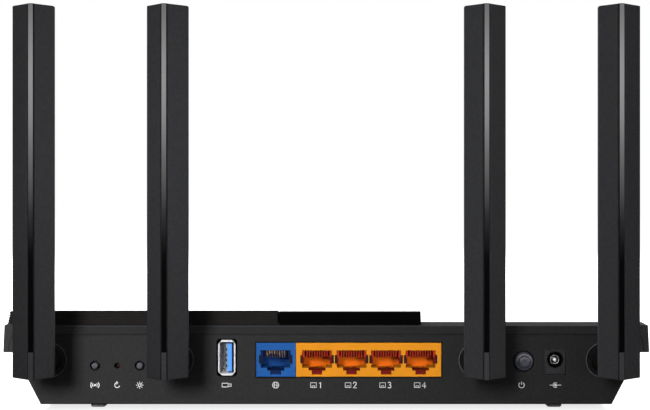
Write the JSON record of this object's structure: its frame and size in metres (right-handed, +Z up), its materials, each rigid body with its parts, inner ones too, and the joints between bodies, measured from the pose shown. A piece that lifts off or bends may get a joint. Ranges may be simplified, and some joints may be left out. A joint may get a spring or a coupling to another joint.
{
  "type": "wireless router",
  "caption": "Low wedge-shaped desktop router with upright swivelling, folding antennas along its rear connector wall, raised gloss and ribbed top panels, and push buttons.",
  "frame": {"origin": "bottom centre of the whole object's box, on the surface that the feet stand on", "axes": "+Z up, +Y towards the router's front, -Y out of the connector wall, +X to the right when looking at the connector wall"},
  "size_m": [0.2614, 0.1592, 0.159],
  "materials": {
    "case": "fine-grained matte charcoal",
    "deck": "ribbed matte black",
    "gloss": "polished black",
    "antenna": "fine matte charcoal",
    "antenna_base": "matte dark grey",
    "button": "satin dark grey",
    "rubber": "soft black rubber",
    "jack_blue": "moulded blue",
    "jack_orange": "moulded orange",
    "usb_blue": "moulded light blue",
    "jack_black": "moulded black",
    "steel": "plated steel",
    "tin": "tinned steel sheet",
    "aluminium": "extruded",
    "board": "solder mask",
    "lens": "smoked light guide",
    "lead": "black jacket"
  },
  "bodies": {
    "case": {"bottom_housing": "case", "rear_panel": "case", "top_cover": "case", "ribbed_deck": "deck", "gloss_panel": "gloss", "indicator_lens": "lens", "main_board": "board", "heat_sink": "aluminium", "radio_shield_left": "tin", "radio_shield_right": "tin", "wan_jack": "jack_blue", "lan_jack_block": "jack_orange", "usb_shell": "steel", "usb_tongue": "usb_blue", "dc_jack": "jack_black", "dc_centre_pin": "steel", "pairing_switch": "jack_black", "lights_switch": "jack_black", "reset_switch": "jack_black", "power_switch": "jack_black", "foot_front_left": "rubber", "case_screw_front_left": "steel", "foot_front_right": "rubber", "case_screw_front_right": "steel", "foot_rear_left": "rubber", "case_screw_rear_left": "steel", "foot_rear_right": "rubber", "case_screw_rear_right": "steel", "antenna_lead_1": "lead", "antenna_lead_2": "lead", "antenna_lead_3": "lead", "antenna_lead_4": "lead"},
    "pairing_button": {"pairing_button": "button"},
    "lights_button": {"lights_button": "button"},
    "power_button": {"power_button": "button"},
    "reset_plunger": {"reset_plunger": "button"},
    "antenna_1_base": {"antenna_1_swivel": "antenna_base", "antenna_1_hinge_pin": "steel"},
    "antenna_1": {"antenna_1_blade": "antenna", "antenna_1_strip": "gloss", "antenna_1_base_strip": "antenna_base"},
    "antenna_2_base": {"antenna_2_swivel": "antenna_base", "antenna_2_hinge_pin": "steel"},
    "antenna_2": {"antenna_2_blade": "antenna", "antenna_2_strip": "gloss", "antenna_2_base_strip": "antenna_base"},
    "antenna_3_base": {"antenna_3_swivel": "antenna_base", "antenna_3_hinge_pin": "steel"},
    "antenna_3": {"antenna_3_blade": "antenna", "antenna_3_strip": "gloss", "antenna_3_base_strip": "antenna_base"},
    "antenna_4_base": {"antenna_4_swivel": "antenna_base", "antenna_4_hinge_pin": "steel"},
    "antenna_4": {"antenna_4_blade": "antenna", "antenna_4_strip": "gloss", "antenna_4_base_strip": "antenna_base"}
  },
  "joints": [
    {"name": "pairing_press", "type": "slide", "parent": "case", "child": "pairing_button", "axis": [0, 1, 0], "range_m": [0, 0.0008], "stiffness_N_per_m": 900, "springref_m": -0.0012},
    {"name": "lights_press", "type": "slide", "parent": "case", "child": "lights_button", "axis": [0, 1, 0], "range_m": [0, 0.0008], "stiffness_N_per_m": 900, "springref_m": -0.0012},
    {"name": "reset_press", "type": "slide", "parent": "case", "child": "reset_plunger", "axis": [0, 1, 0], "range_m": [0, 0.0004], "stiffness_N_per_m": 900, "springref_m": -0.0012},
    {"name": "power_press", "type": "slide", "parent": "case", "child": "power_button", "axis": [0, 1, 0], "range_m": [0, 0.0016], "stiffness_N_per_m": 700, "springref_m": -0.0015},
    {"name": "antenna_1_swivel_turn", "type": "hinge", "parent": "case", "child": "antenna_1_base", "pos_m": [-0.11215, -0.05535, 0.0196], "axis": [0, 1, 0], "range_deg": [-90, 12]},
    {"name": "antenna_1_fold", "type": "hinge", "parent": "antenna_1_base", "child": "antenna_1", "pos_m": [-0.11215, -0.07185, 0.0196], "axis": [1, 0, 0], "range_deg": [0, 90]},
    {"name": "antenna_2_swivel_turn", "type": "hinge", "parent": "case", "child": "antenna_2_base", "pos_m": [-0.06075, -0.05535, 0.0196], "axis": [0, 1, 0], "range_deg": [-12, 45]},
    {"name": "antenna_2_fold", "type": "hinge", "parent": "antenna_2_base", "child": "antenna_2", "pos_m": [-0.06075, -0.07185, 0.0196], "axis": [1, 0, 0], "range_deg": [0, 90]},
    {"name": "antenna_3_swivel_turn", "type": "hinge", "parent": "case", "child": "antenna_3_base", "pos_m": [0.06075, -0.05535, 0.0196], "axis": [0, 1, 0], "range_deg": [-45, 12]},
    {"name": "antenna_3_fold", "type": "hinge", "parent": "antenna_3_base", "child": "antenna_3", "pos_m": [0.06075, -0.07185, 0.0196], "axis": [1, 0, 0], "range_deg": [0, 90]},
    {"name": "antenna_4_swivel_turn", "type": "hinge", "parent": "case", "child": "antenna_4_base", "pos_m": [0.11215, -0.05535, 0.0196], "axis": [0, 1, 0], "range_deg": [-12, 90]},
    {"name": "antenna_4_fold", "type": "hinge", "parent": "antenna_4_base", "child": "antenna_4", "pos_m": [0.11215, -0.07185, 0.0196], "axis": [1, 0, 0], "range_deg": [0, 90]}
  ]
}
